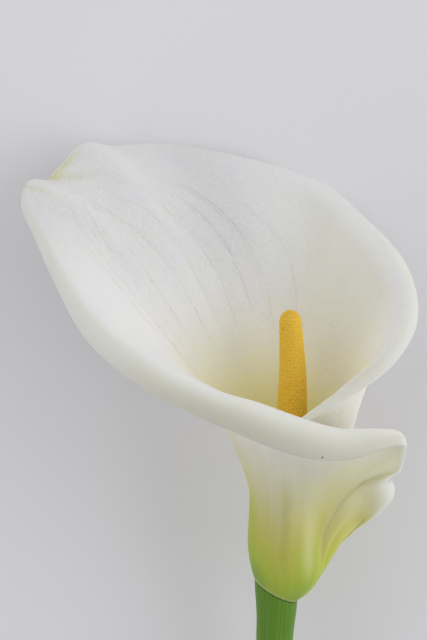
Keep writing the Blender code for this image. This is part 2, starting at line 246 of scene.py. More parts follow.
# ---- light, in metres and watts ------------------------------------------------------
LIGHT_AIM = (0.0, 0.05, 0.04)
LIGHTS = {                    # place, side of the square, power
    "key": ((1.40, 0.10, 0.65), 1.7, 14.0),
    "fill": ((-1.0, 1.0, 0.62), 1.3, 4.3),
    "front": ((0.1, 1.2, 1.05), 1.3, 2.3),
    "lower left": ((-1.1, -0.9, 0.9), 1.3, 4.3),
}
SKY_COLOUR = (1.0, 0.99, 0.985, 1.0)
SKY_STRENGTH = 0.395
FLOOR_SIZE = 6.0


def smooth(value, low, high):
    """0 below low, 1 above high, and an S-shaped step between."""
    t = np.clip((value - low) / (high - low), 0, 1)
    return t * t * (3 - 2 * t)


def lie_matrix():
    """From the upright flower in metres to where it lies."""
    turn = Matrix.Rotation(math.radians(LIE_PITCH - 90), 4, "X")
    tilt = Matrix.Rotation(math.radians(LIE_ROLL), 4, "Y")
    place = (LIE_SHIFT[0] * MM, LIE_SHIFT[1] * MM, (LIE_DROP - FLAT_DEPTH) * MM)
    return Matrix.Translation(place) @ tilt @ turn


def lay_down(points):
    """Upright points in millimetres to their place in the scene, in metres."""
    lie = np.array(lie_matrix())
    return points @ (lie[:3, :3].T * MM) + lie[:3, 3]


def unit(v):
    return v / np.linalg.norm(v, axis=-1, keepdims=True)


# ---- modelling helpers ---------------------------------------------------------------
def grid_blank(name, columns, rows):
    """A flat grid to be shaped, with the column and the row of each of its points."""
    bpy.ops.object.select_all(action="DESELECT")
    bpy.ops.mesh.primitive_grid_add(x_subdivisions=columns - 1, y_subdivisions=rows - 1, size=1)
    blank = bpy.context.object
    blank.name = name
    blank.data.name = name
    spots = read_points(blank)
    column = np.rint((spots[:, 0] + 0.5) * (columns - 1)).astype(int)
    row = np.rint((spots[:, 1] + 0.5) * (rows - 1)).astype(int)
    return blank, column, row


def read_points(piece):
    flat = np.empty(len(piece.data.vertices) * 3, dtype=np.float32)
    piece.data.vertices.foreach_get("co", flat)
    return flat.reshape(-1, 3).astype(float)


def write_points(piece, points):
    piece.data.vertices.foreach_set("co", np.ascontiguousarray(points, dtype=np.float32).ravel())
    piece.data.update()


def give_values(piece, name, values):
    """Store one number a point for the materials to read."""
    layer = piece.data.attributes.new(name, "FLOAT", "POINT")
    layer.data.foreach_set("value", np.asarray(values, dtype=np.float32).ravel())


def give_vectors(piece, name, vectors):
    layer = piece.data.attributes.new(name, "FLOAT_VECTOR", "POINT")
    layer.data.foreach_set("vector", np.asarray(vectors, dtype=np.float32).ravel())


def apply_modifiers(piece):
    bpy.ops.object.select_all(action="DESELECT")
    bpy.context.view_layer.objects.active = piece
    piece.select_set(True)
    for modifier in list(piece.modifiers):
        bpy.ops.object.modifier_apply(modifier=modifier.name)


def weld_and_face_out(piece):
    """Close the seam and the poles of a rolled-up grid, and turn its faces outwards."""
    bpy.ops.object.select_all(action="DESELECT")
    bpy.context.view_layer.objects.active = piece
    piece.select_set(True)
    bpy.ops.object.mode_set(mode="EDIT")
    bpy.ops.mesh.select_all(action="SELECT")
    bpy.ops.mesh.remove_doubles(threshold=0.000002)
    bpy.ops.mesh.dissolve_degenerate(threshold=0.000001)
    bpy.ops.mesh.normals_make_consistent(inside=False)
    bpy.ops.object.mode_set(mode="OBJECT")
    bpy.ops.object.shade_smooth()


# ---- the spathe ----------------------------------------------------------------------
def foot_height(azimuth):
    """Height of the slanted ring at which the spathe leaves the stem."""
    return FOOT_HEIGHT - FOOT_SLANT * np.sin(np.radians(azimuth))


def through(stations, where):
    """A smooth curve through the stations, read at fractional station numbers."""
    p = np.array(stations, float)
    p = np.vstack([2 * p[0] - p[1], p, 2 * p[-1] - p[-2]])
    i = np.clip(np.floor(where).astype(int), 0, len(stations) - 2)
    t = (where - i)[:, None]
    a, b, c, d = p[i], p[i + 1], p[i + 2], p[i + 3]
    return 0.5 * (2 * b + (c - a) * t + (2 * a - 5 * b + 4 * c - d) * t**2
                  + (3 * b - a - 3 * c + d) * t**3)


def wrap_share(azimuth):
    """0 at the outer margin, 1 at the inner margin."""
    return (RIM[0][0] - azimuth) / (RIM[0][0] - RIM[-1][0])


def tube_centre(height):
    """How far right the tube's middle is; it drifts a little on its way up."""
    return TUBE_SHIFT + TUBE_DRIFT * smooth(height, 10, 45)


def tube_point(height, azimuth):
    """A point of the sheet's middle on the foot or the tube."""
    share = wrap_share(azimuth)
    seam = FOOT_SEAM - FOOT_TURN * share
    above = height - foot_height(seam)
    turn = np.radians(seam + (azimuth - seam) * smooth(above, 3, 16))
    seam = np.radians(seam)
    widen = 1 - (1 - np.clip(above / FOOT_BULGE, 0, 1)) ** 2
    layer = (LAYER_OUT - LAYER_STEP * share) * smooth(above, 0.5, 4)
    radius = TUBE_RADIUS + TUBE_FLARE * smooth(height, 30, 45)
    centre = tube_centre(height)
    foot = np.stack([FOOT_CENTRE + FOOT_RADIUS * np.sin(seam), -FOOT_RADIUS * np.cos(seam)], -1)
    tube = np.stack([centre + radius * np.sin(turn), -radius * np.cos(turn)], -1)
    spiral = np.stack([np.sin(turn), -np.cos(turn)], -1) * layer[:, None]
    flat = foot + (tube - foot) * widen[:, None] + spiral
    return np.concatenate([flat, height[:, None]], -1)


def evened(line, reach):
    """The line with its small turns averaged out, its ends kept."""
    weights = np.hanning(2 * reach + 3)[1:-1]
    weights /= weights.sum()
    before = 2 * line[:1] - line[reach:0:-1]
    after = 2 * line[-1:] - line[-2:-reach - 2:-1]
    padded = np.concatenate([before, line, after])
    return np.stack([np.convolve(padded[:, k], weights, "valid") for k in range(3)], 1)


def by_length(rows, count):
    """Each column's points, read again at even steps of its length."""
    step = np.linalg.norm(np.diff(rows, axis=1), axis=2)
    run = np.concatenate([np.zeros((len(rows), 1)), np.cumsum(step, 1)], 1)
    run /= run[:, -1:]
    wanted = np.linspace(0, 1, count + 1)
    return np.stack([np.stack([np.interp(wanted, run[i], rows[i, :, k]) for k in range(3)], -1)
                     for i in range(len(rows))])


def tube_rows(azimuth, leave):
    """Rows of points from the foot ring up the tube to where each column leaves it."""
    foot = foot_height(FOOT_SEAM - FOOT_TURN * wrap_share(azimuth))
    return [tube_point(foot + (leave - foot) * j / TUBE_ROWS, azimuth)
            for j in range(TUBE_ROWS + 1)]


def wall_rows(tube, crest, reach, outward, belly):
    """Rows of the funnel wall, a Bezier curve in each column from the tube up to the crest."""
    start = tube[-1]
    up = unit(tube[-1] - tube[-2])
    spread = round(DETAIL_REACH * RIM_COLUMNS)
    broad, aim = evened(crest, spread), unit(evened(reach, spread))
    length = np.linalg.norm(broad - start, axis=1)[:, None]
    low = start + up * np.minimum(HANDLE_UP, 0.45 * length) + outward * belly[:, None]
    high = broad - aim * length * HANDLE_IN + outward * belly[:, None]
    rows = []
    for j in range(1, WALL_ROWS + 1):
        f = j / WALL_ROWS
        wall = ((1 - f) ** 3 * start + 3 * (1 - f) ** 2 * f * low
                + 3 * (1 - f) * f**2 * high + f**3 * broad)
        small_turns = (crest - broad) * smooth(f, 0.35, 1.0) ** 1.5
        rows.append(wall + small_turns)
    return rows


def rolled_edge(crest, over, under, roll, radius):
    """Rows of the edge, rolled outwards and under, or rounded back where the roll is negative."""
    rows = []
    for j in range(1, ROLL_ROWS + 1):
        turn = (np.radians(np.abs(roll)) * j / ROLL_ROWS)[:, None]
        ring = np.sin(turn) * over + np.sign(roll)[:, None] * (1 - np.cos(turn)) * under
        rows.append(crest + radius[:, None] * ring)
    return rows


def spathe_sheet():
    """Middle of the sheet, columns x rows of points, and the azimuth of each column."""
    where = np.linspace(0, len(RIM) - 1, (len(RIM) - 1) * RIM_COLUMNS + 1)
    azimuth, leave, x, y, z, lean, roll, radius, belly = through(RIM, where).T
    crest = np.stack([x, y, z], 1)
    along = unit(np.gradient(crest, axis=0))
    outward = unit(np.stack([x - tube_centre(z), y, 0 * x], 1))
    lean = np.radians(lean)[:, None]
    reach = outward * np.cos(lean) + np.array([0, 0, 1.0]) * np.sin(lean)
    over = unit(reach - (reach * along).sum(1)[:, None] * along)
    under = np.cross(over, along)
    tube = tube_rows(azimuth, leave)
    wall = wall_rows(tube, crest, reach, outward, belly)
    blade = by_length(np.stack(tube + wall, 1), BLADE_ROWS)
    edge = rolled_edge(crest, over, under, roll, radius)
    return np.concatenate([blade, np.stack(edge, 1)], 1), azimuth


def vein_coordinate(azimuth, share):
    """Degrees round the tube at which the vein through this place starts, 0 for the one to the tip."""
    away = azimuth - TIP_AZIMUTH
    part = np.maximum(np.abs(away), 0.01) / VEIN_REACH
    return np.sign(away) * VEIN_REACH * part ** (1 - np.clip(share, 0, 0.97) ** VEIN_CLING)


def notch_line(azimuth, share):
    """1 on the line that the notch's fold follows, 0 away from it."""
    middle = NOTCH_AZIMUTH - NOTCH_TURN * (1 - np.clip(share, 0, 1))
    return np.exp(-((azimuth - middle) / NOTCH_WIDTH) ** 2) * smooth(share, NOTCH_START, 0.93)


def band(azimuth, share, middle, half_width, start, full, fading, end):
    """1 along the middle of a soft band over the sheet, 0 away from it."""
    along = smooth(share, start, full) * (1 - smooth(share, fading, end))
    return np.exp(-((azimuth - middle) / half_width) ** 2) * along


def eased(sheet, azimuth, share):
    """The sheet with the valley beside the tube filled a little and the pinch closed softly."""
    loose = smooth(azimuth, 30, 48) * smooth(share, 0.04, 0.2) * (1 - smooth(share, 0.80, 0.98))
    pinch = np.exp(-((azimuth - PINCH_AZIMUTH) / PINCH_WIDTH) ** 2) * smooth(share, 0.85, 0.97)
    loose = np.maximum(loose, PINCH_EASE * pinch)
    for _ in range(EASE_ROUNDS):
        wide = np.pad(sheet, ((1, 1), (1, 1), (0, 0)), "edge")
        around = (wide[:-2, 1:-1] + wide[2:, 1:-1] + wide[1:-1, :-2] + wide[1:-1, 2:]) / 4
        sheet = sheet + loose[..., None] * (around - sheet)
    return sheet


def fold_relief(azimuth, vein, share):
    """Height of the broad folds, of the wing's bulge and of the fold at the notch, in millimetres."""
    relief = -NOTCH_DEPTH * notch_line(azimuth, share)
    relief -= FLAP_FOLD_DEPTH * band(azimuth, share, *FLAP_FOLD)
    relief -= GROOVE_DEPTH * band(azimuth, share, *GROOVE)
    relief += PILLOW_HEIGHT * band(azimuth, share, *PILLOW)
    for middle, depth, half_width, low, high in FOLDS:
        fade = smooth(share, low, low + 0.15) * (1 - smooth(share, high - 0.12, high))
        across = (vein - middle) / half_width
        relief -= depth * fade * (np.exp(-across**2) - 0.4 * np.exp(-(across / 2.5) ** 2))
    return relief


def green_rise(azimuth):
    """How much higher the green climbs at the sides of the tube than at its front, in millimetres."""
    left = GREEN_LEFT * smooth(-azimuth, 25, 85) * (1 - smooth(-azimuth, 230, 270))
    right = GREEN_RIGHT * smooth(azimuth, 12, 45) * (1 - smooth(azimuth, 50, 62))
    wing = GREEN_WING * smooth(azimuth, 50, 62)
    return left + right - wing


def edge_tint(azimuth, share):
    """Where the yellow-green shows through at the notch and beside the tip."""
    start, full, fading, end = NOTCH_EDGE
    edge = smooth(share, 0.98, 1.0) * (1 - smooth(share, 1.005, 1.03))
    edge = edge * smooth(-azimuth, start, full) * (1 - smooth(-azimuth, fading, end))
    line = np.exp(-((azimuth - TIP_LINE_AZIMUTH) / TIP_LINE_WIDTH) ** 2)
    line = line * smooth(share, 0.93, 0.97)
    inward = notch_line(azimuth, share) * smooth(share, 0.92, 0.97)
    return np.clip(0.6 * edge + 0.3 * line + 0.3 * inward, 0, 1)


def rim_white(azimuth, share):
    """How far the white of the rolled rim has taken over; the green wing has little of it."""
    return smooth(share, 0.97, 1.10) * (1 - 0.85 * smooth(azimuth, 66, 76))


def painted_rim_shade(azimuth, share):
    """Painted shade on the rolled rim: along its front, deepest under the roll, and a little at the
    right.
    """
    front = smooth(azimuth, -75, -30) * (1 - smooth(azimuth, 42, 53))
    right = smooth(-azimuth, 270, 300) * (1 - smooth(-azimuth, 345, 352))
    return front * (0.20 + 0.75 * smooth(share, 1.05, 1.16)) + 0.35 * right


def painted_back_shade(azimuth, share):
    """1 on the right half of the inner wall, where shade is painted to grey it."""
    around = smooth(-azimuth, 165, 205) * (1 - smooth(-azimuth, 240, 268))
    return around * smooth(share, 0.5, 0.68) * (1 - smooth(share, 0.93, 1.0))


def crepe_share(azimuth, share):
    """How strongly the crepe shows: most on the upper left of the inner face."""
    around = smooth(-azimuth, 85, 115) * (1 - 0.7 * smooth(-azimuth, 165, 200))
    return around * smooth(share, 0.5, 0.75) * (1 - smooth(share, 1.0, 1.1))


def skin_values(azimuth, share, vein, height):
    """The numbers that the spathe's material reads at each point of the sheet."""
    return {
        "vein": vein,
        "share": share,
        "crepe": crepe_share(azimuth, share),
        "green_level": height + GREEN_BASE - green_rise(azimuth),
        "tint": NOTCH_TINT * edge_tint(azimuth, share),
        "painted_back_shade": PAINTED_BACK_SHADE_AMOUNT * painted_back_shade(azimuth, share),
        "groove_painted_shade": GROOVE_SHADE_TINT * band(azimuth, share, *GROOVE),
        "tube_painted_highlight": HIGHLIGHT_TINT * band(azimuth, share, *TUBE_HIGHLIGHT),
        "wing_valley_painted_shade": VALLEY_SHADE_TINT * band(azimuth, share, *WING_VALLEY_SHADE),
        "rim_white": rim_white(azimuth, share),
        "painted_rim_shade": painted_rim_shade(azimuth, share),
    }


def pressed_sheet():
    """The sheet with its folds pressed in, and the azimuth, share and vein of each point."""
    sheet, azimuth = spathe_sheet()
    share, azimuth = np.meshgrid(np.arange(sheet.shape[1]) / BLADE_ROWS, azimuth)
    vein = vein_coordinate(azimuth, share)
    sheet = eased(sheet, azimuth, share)
    normal = unit(np.cross(np.gradient(sheet, axis=0), np.gradient(sheet, axis=1)))
    sheet = sheet + normal * fold_relief(azimuth, vein, share)[..., None]
    return sheet, azimuth, share, vein


def thicken(spathe, steps_to_edge):
    """Give the sheet its thickness, thinner towards its free edge."""
    group = spathe.vertex_groups.new(name="full thickness")
    levels = np.rint(np.clip(steps_to_edge, 0, 1) * 10).astype(int)
    for level in range(11):
        group.add(np.nonzero(levels == level)[0].tolist(), level / 10, "REPLACE")
    wall = spathe.modifiers.new("thickness", "SOLIDIFY")
    wall.thickness = SPATHE_THICKNESS * MM
    wall.offset = 0.0
    wall.use_even_offset = False
    wall.vertex_group = group.name
    wall.thickness_vertex_group = EDGE_THICKNESS
    apply_modifiers(spathe)
    bpy.ops.object.shade_smooth()


def make_spathe():
    """The pressed sheet, with what its material reads, then given its thickness."""
    sheet, azimuth, share, vein = pressed_sheet()
    columns, rows = share.shape
    run = np.cumsum(np.linalg.norm(np.diff(sheet, axis=1, prepend=sheet[:, :1]), axis=2), 1)
    stretch = sheet - CREPE_STRETCH * (sheet @ CREPE_ALONG)[..., None] * CREPE_ALONG

    # every number is stored at the sheet's middle, and both skins take it over
    spathe, column, row = grid_blank("spathe_skin", columns, rows)
    write_points(spathe, lay_down(sheet[column, row]))
    give_vectors(spathe, "upright", sheet[column, row])
    give_vectors(spathe, "crepe_place", stretch[column, row])
    give_vectors(spathe, "veins", np.stack([vein, run, 0 * run], -1)[column, row])
    for name, values in skin_values(azimuth, share, vein, sheet[..., 2]).items():
        give_values(spathe, name, values[column, row])
    to_margin = np.minimum(column, columns - 1 - column) / 8
    thicken(spathe, np.minimum((rows - 1 - row) / 10, to_margin))

    # the first half of the points is one skin, the second half the other
    points = read_points(spathe)
    half = len(points) // 2
    give_values(spathe, "inner", np.arange(len(points)) < half)
    write_points(spathe, np.clip(points, LYING_LOW, LYING_HIGH))
    return spathe


# ---- columns that are closed at both ends --------------------------------------------
def rolled_column(name, rings):
    """A closed body from rows x columns of points; first and last column meet, both ends are poles."""
    rows, columns = rings.shape[:2]
    piece, column, row = grid_blank(name, columns, rows)
    write_points(piece, lay_down(rings[row, column]))
    return piece, column, row


def spadix_radius(height):
    """Its radius to the tops of the florets, a little narrower at the foot and towards the tip."""
    body = SPADIX_RADIUS - (SPADIX_RADIUS - SPADIX_TIP_RADIUS) * smooth(height, *SPADIX_TAPERS)
    return body - (SPADIX_RADIUS - SPADIX_BASE_RADIUS) * (1 - smooth(height, *SPADIX_WIDENS))


def spadix_centre(height):
    """How far right the middle of the spadix is."""
    lean = SPADIX_LEAN * smooth(height, *SPADIX_LEANS)
    return FOOT_CENTRE + lean - SPADIX_NOD * smooth(height, *SPADIX_NODS)


def spadix_profile(bottom, top, rounded, step):
    """Heights, radii and the way run along the surface, from the middle of the foot to the top."""
    heights = np.arange(bottom, top, PROFILE_STEP)
    radii = spadix_radius(heights)
    if rounded:
        dome = top - SPADIX_TIP_RADIUS * TIP_HEIGHT_SHARE
        heights = heights[heights < dome]
        radii = spadix_radius(heights)
        turn = np.linspace(0, math.pi / 2, 120)
        heights = np.concatenate([heights, dome + (top - dome) * np.sin(turn)])
        radii = np.concatenate([radii, radii[-1] * np.cos(turn)])
    else:
        heights = np.append(heights, [top, top])
        radii = np.append(radii, [spadix_radius(top), 0])
    heights = np.concatenate([[bottom], heights])
    radii = np.concatenate([[0], radii])
    run = np.concatenate([[0], np.cumsum(np.hypot(np.diff(heights), np.diff(radii)))])
    where = np.linspace(0, run[-1], round(run[-1] / step) + 1)
    return np.interp(where, run, heights), np.interp(where, run, radii), where


def floret_cells(width, length, pitch, seed):
    """Places of the florets on the unrolled column: offset rows, each place drawn a little aside."""
    draw = np.random.default_rng(seed)
    across = round(width / pitch)
    rows = round(length / (pitch * ROW_PITCH_SHARE))
    spots = []
    for j in range(rows + 1):
        for i in range(across):
            x = (i + 0.5 * (j % 2) + draw.uniform(-PLACE_DRAW, PLACE_DRAW)) * width / across
            y = (j + draw.uniform(-PLACE_DRAW, PLACE_DRAW)) * length / rows
            spots.append((x, y))
    return spots


def floret_distances(spots, width, x, y):
    """From each place to its nearest three florets, and which is the nearest."""
    tree = KDTree(3 * len(spots))
    for k, (sx, sy) in enumerate(spots):
        for turn in (-1, 0, 1):
            tree.insert((sx + turn * width, sy, 0), k)
    tree.balance()
    found = [tree.find_n((px, py, 0), 3) for px, py in zip(x, y)]
    away = np.array([[hit[2] for hit in hits] for hits in found])
    return away, np.array([hits[0][1] for hits in found])


def make_floret_column(name, bottom, top, rounded, pitch, relief, detail, seed):
    """A column with a rounded floret in each cell and pits where cells meet."""
    heights, radii, run = spadix_profile(bottom, top, rounded, detail)
    width = 2 * math.pi * SPADIX_RADIUS
    columns = round(width / detail) + 1
    turn = np.linspace(0, 2 * math.pi, columns)
    around = turn / (2 * math.pi) * width
    x, y = np.meshgrid(around, run)
    spots = floret_cells(width, run[-1], pitch, seed)
    away, cell = floret_distances(spots, width, x.ravel() % width, y.ravel())
    away = away.reshape(*x.shape, 3) / pitch
    seam = smooth(away[..., 1] - away[..., 0], 0.0, 0.5)
    pit = 1 - smooth(away[..., 2] - away[..., 0], 0.0, 0.32)
    rise = relief * (seam - 1.0)

    out = np.gradient(heights, run), -np.gradient(radii, run)
    size = np.hypot(*out)
    fade = smooth(radii, 0.0, 1.5)
    radius = radii[:, None] + rise * fade[:, None] * (out[0] / size)[:, None]
    height = heights[:, None] + rise * fade[:, None] * (out[1] / size)[:, None]
    centre = spadix_centre(heights)[:, None]
    rings = np.stack([centre + radius * np.sin(turn), -radius * np.cos(turn), height], -1)
    piece, column, row = rolled_column(name, rings)
    tone = np.random.default_rng(seed + 1).uniform(0, 1, len(spots))[cell].reshape(x.shape)
    give_values(piece, "seam", (1 - seam)[row, column])
    give_values(piece, "pit", (pit * fade[:, None])[row, column])
    give_values(piece, "tone", tone[row, column])
    weld_and_face_out(piece)
    return piece


# ---- the stem ------------------------------------------------------------------------
def stem_centre(height):
    """How far right the stem's middle is; it bows to the left on its way down."""
    down = np.clip(-height / STEM_LENGTH, 0, 1)
    return STEM_X + (FOOT_CENTRE - STEM_X) * smooth(height, -STEM_SWELL, 0) - STEM_BOW * down**2


def stem_ring(turn, centre, radius, height):
    """One ring of points; radius and height may be single numbers or one for each point."""
    return np.stack([centre + radius * np.sin(turn), -radius * np.cos(turn),
                     height + 0 * turn], -1)


def cut_rings(turn, middle, slope):
    """The slanted cut from its middle outwards, sunk a little inside its skin."""
    shares = np.concatenate([np.linspace(0, 0.93, 22), [0.97, 0.99]])
    rings = []
    for share in shares:
        radius = STEM_RADIUS * share
        sunk = CUT_SINK * (smooth(share, 0.97, 0.8) if share > 0.8 else 1)
        height = middle + radius * slope * np.cos(turn) + sunk
        rings.append(stem_ring(turn, stem_centre(height), radius, height))
    return rings, list(shares)


def skin_rings(turn, cut, ledge):
    """The ribbed skin from the edge of the cut up to the ledge under the spathe's foot."""
    ribs = sum(height * (np.sin(count * turn + phase) - 1) for count, height, phase in STEM_RIBS)
    rings = []
    for level in np.linspace(0.0015, 1, STEM_ROWS):
        height = cut + (ledge - cut) * level
        swell = smooth(height - ledge, -STEM_SWELL, 0)
        radius = STEM_RADIUS + (STEM_TOP_RADIUS - STEM_RADIUS) * swell
        rings.append(stem_ring(turn, stem_centre(height), radius + ribs, height))
    return rings


def neck_rings(turn, ledge):
    """In over the ledge, then up the neck and in to its middle."""
    profile = [
        (STEM_TOP_RADIUS * 0.995, ledge + 0.03),
        (NECK_RADIUS + STEM_TOP_RADIUS * 0.01, ledge + 0.03),
        (NECK_RADIUS, ledge + 0.3),
        (NECK_RADIUS, 1.5),
        (NECK_RADIUS, NECK_TOP - 0.4),
        (NECK_RADIUS - 0.3, NECK_TOP),
        (0.0, NECK_TOP),
    ]
    return [stem_ring(turn, FOOT_CENTRE, radius, height) for radius, height in profile]


def make_stem():
    """From the middle of the slanted cut out to its edge, up to the ledge, and the neck inside."""
    turn = np.linspace(0, 2 * math.pi, STEM_COLUMNS)
    ledge = foot_height(np.degrees(turn)) - STEM_LEDGE_GAP
    slope = math.tan(math.radians(STEM_CUT_SLANT))
    middle = FOOT_HEIGHT - STEM_LENGTH
    rings, cut_share = cut_rings(turn, middle, slope)
    rings += skin_rings(turn, middle + STEM_RADIUS * slope * np.cos(turn), ledge)
    rings += neck_rings(turn, ledge)
    cut_share += [1.0] * (len(rings) - len(cut_share))

    rings = np.array(rings)
    stem, column, row = rolled_column("stem_skin", rings)
    give_values(stem, "cut_share", np.array(cut_share)[row])
    around = np.degrees(turn)[column]
    give_vectors(stem, "skin", np.stack([around, rings[row, column, 2], 0 * around], -1))
    give_values(stem, "height", rings[row, column, 2])
    weld_and_face_out(stem)
    points = read_points(stem)
    points[:, 2] = np.maximum(points[:, 2], 0)
    write_points(stem, points)
    return stem


# ---- materials -----------------------------------------------------------------------
def linear(hex_colour):
    """An sRGB hex colour as linear RGBA."""
    values = [int(hex_colour[i:i + 2], 16) / 255 for i in (1, 3, 5)]
    return tuple(c / 12.92 if c <= 0.04045 else ((c + 0.055) / 1.055) ** 2.4
                 for c in values) + (1.0,)


def new_material(name):
    """A material, its node tree, and its main shader."""
    made = bpy.data.materials.new(name)
    made.use_nodes = True
    tree = made.node_tree
    return made, tree, tree.nodes["Principled BSDF"]


def fill(tree, made, inputs):
    """Give a node its inputs: a number, a vector, a colour, or the output of another node."""
    for key, value in inputs.items():
        if isinstance(value, bpy.types.NodeSocket):
            tree.links.new(value, made.inputs[key])
        else:
            made.inputs[key].default_value = value


def add(tree, kind, inputs=None, out=0, stops=(), **settings):
    """Add a node with its settings, colour stops and inputs, and hand back one of its outputs."""
    made = tree.nodes.new("ShaderNode" + kind)
    for name, value in settings.items():
        setattr(made, name, value)
    if stops:
        elements = made.color_ramp.elements
        elements.remove(elements[1])
        elements[0].position = stops[0][0]
        elements[0].color = linear(stops[0][1])
        for place, colour in stops[1:]:
            elements.new(place).color = linear(colour)
    fill(tree, made, inputs or {})
    return made.outputs[out]


def crease_stops():
    """The fine creases as dark lines on white, over the span of the vein coordinate."""
    low, high = CREASE_SPAN
    stops = [(0.0, "#FFFFFF")]
    for middle, depth in sorted(CREASES):
        level = round(255 * (1 - depth))
        for offset, shade in ((-CREASE_WIDTH, 255), (0, level), (CREASE_WIDTH, 255)):
            stops.append(((middle + offset - low) / (high - low), "#%02X%02X%02X" % ((shade,) * 3)))
    return stops


def outer_colour(put, streaks, broad):
    """Green at the foot, yellow-green up the tube, white above, carried up and down by streaks, with
    shade painted into the groove and the valley beside the wing and a highlight painted on the band
    right of the groove.
    """
    level = put("Attribute", attribute_name="green_level", out="Fac")
    level = put("Math", {0: streaks, 1: -STREAK_RISE, 2: level}, operation="MULTIPLY_ADD")
    level = put("Math", {0: broad, 1: -BROAD_RISE, 2: level}, operation="MULTIPLY_ADD")
    level = put("MapRange", {"Value": level, "From Min": GREEN_RANGE[0], "From Max": GREEN_RANGE[1]})
    colour = put("ValToRGB", {"Fac": level}, stops=[
        (0.00, "#688A31"), (0.15, "#84A339"), (0.24, "#9DB540"), (0.34, "#B0C248"),
        (0.46, "#C5C85B"), (0.57, "#D3D084"), (0.69, "#DCD9B0"), (0.82, "#E4E2CE"),
        (1.00, "#EFEEE8")])
    share = put("Attribute", attribute_name="share", out="Fac")
    foot = put("MapRange", {"Value": share, "From Min": 0.022, "From Max": 0.006, "To Max": FOOT_TINT},
               interpolation_type="SMOOTHSTEP")
    colour = put("Mix", {0: foot, 6: colour, 7: linear("#D3D9A0")}, out=2, data_type="RGBA")
    # painted shade in the groove and in the valley beside the wing, a painted highlight on the band
    # right of the groove
    for name, tint in (("groove_painted_shade", "#B5B264"), ("tube_painted_highlight", "#F0EDC0"), ("wing_valley_painted_shade", "#ABA968")):
        amount = put("Attribute", attribute_name=name, out="Fac")
        colour = put("Mix", {0: amount, 6: colour, 7: linear(tint)}, out=2, data_type="RGBA")
    return colour


def inner_colour(put, upright, streaks):
    """Soft yellow in the throat, white towards the rim, and painted shade greying the right half of
    the wall.
    """
    depth = put("VectorMath", {0: upright, 1: THROAT_PLACE}, out="Value", operation="DISTANCE")
    depth = put("Math", {0: streaks, 1: THROAT_STREAKS, 2: depth}, operation="MULTIPLY_ADD")
    depth = put("MapRange", {"Value": depth, "From Min": THROAT_RANGE[0], "From Max": THROAT_RANGE[1]})
    colour = put("ValToRGB", {"Fac": depth}, stops=[
        (0.00, "#F3EAA4"), (0.25, "#F5EEC2"), (0.55, "#F5F2DE"), (0.80, "#F5F3EB"),
        (1.00, "#F4F4F0")])
    # painted shade: the right half of the inner wall is greyed
    shade = put("Attribute", attribute_name="painted_back_shade", out="Fac")
    return put("Mix", {0: shade, 6: colour, 7: linear("#E3E2DA")}, out=2, data_type="RGBA")


def spathe_colour(put, streaks, broad):
    """The two faces, the rolled rim with its painted shade, the green at the notch and the one brown
    speck.
    """
    upright = put("Attribute", attribute_name="upright", out="Vector")
    inner, painted_rim_shade_at, rim_white_at, tint = (
        put("Attribute", attribute_name=name, out="Fac")
        for name in ("inner", "painted_rim_shade", "rim_white", "tint"))
    faces = {0: inner, 6: outer_colour(put, streaks, broad), 7: inner_colour(put, upright, streaks)}
    colour = put("Mix", faces, out=2, data_type="RGBA")
    # the rolled rim's white, with painted shade along its front, deepest under the roll, and at the
    # right
    rim = put("Mix", {0: painted_rim_shade_at, 6: linear("#E6E7E1"), 7: linear("#CBCBC3")}, out=2,
              data_type="RGBA")
    colour = put("Mix", {0: rim_white_at, 6: colour, 7: rim}, out=2, data_type="RGBA")
    colour = put("Mix", {0: tint, 6: colour, 7: linear("#C6CA70")}, out=2, data_type="RGBA")
    away = put("VectorMath", {0: upright, 1: SPECK_PLACE}, out="Value", operation="DISTANCE")
    speck = put("MapRange", {"Value": away, "From Min": SPECK_RADIUS, "From Max": 0.2},
                interpolation_type="SMOOTHSTEP")
    return put("Mix", {0: speck, 6: colour, 7: linear("#8A7148")}, out=2, data_type="RGBA")


def crease_height(put, veins):
    """Creases on the inner face that come and go along their length, 0 between them."""
    place = put("VectorMath", {0: veins, 1: (0.10, 0.030, 1.0)}, operation="MULTIPLY")
    broken = put("TexNoise", {"Vector": place, "Scale": 1.0, "Detail": 2.0, "Roughness": 0.5})
    share = put("Attribute", attribute_name="share", out="Fac")
    fade = put("Attribute", attribute_name="inner", out="Fac")
    for value, low, high in ((share, 0.45, 0.62), (share, 0.93, 0.84), (broken, 0.35, 0.52)):
        part = put("MapRange", {"Value": value, "From Min": low, "From Max": high},
                   interpolation_type="SMOOTHSTEP")
        fade = put("Math", {0: fade, 1: part}, operation="MULTIPLY")
    vein = put("Attribute", attribute_name="vein", out="Fac")
    vein = put("MapRange", {"Value": vein, "From Min": CREASE_SPAN[0], "From Max": CREASE_SPAN[1]})
    lines = put("RGBToBW", {"Color": put("ValToRGB", {"Fac": vein}, stops=crease_stops())})
    lines = put("Math", {0: lines, 1: 1.0}, operation="SUBTRACT")
    return put("Math", {0: lines, 1: fade}, operation="MULTIPLY")


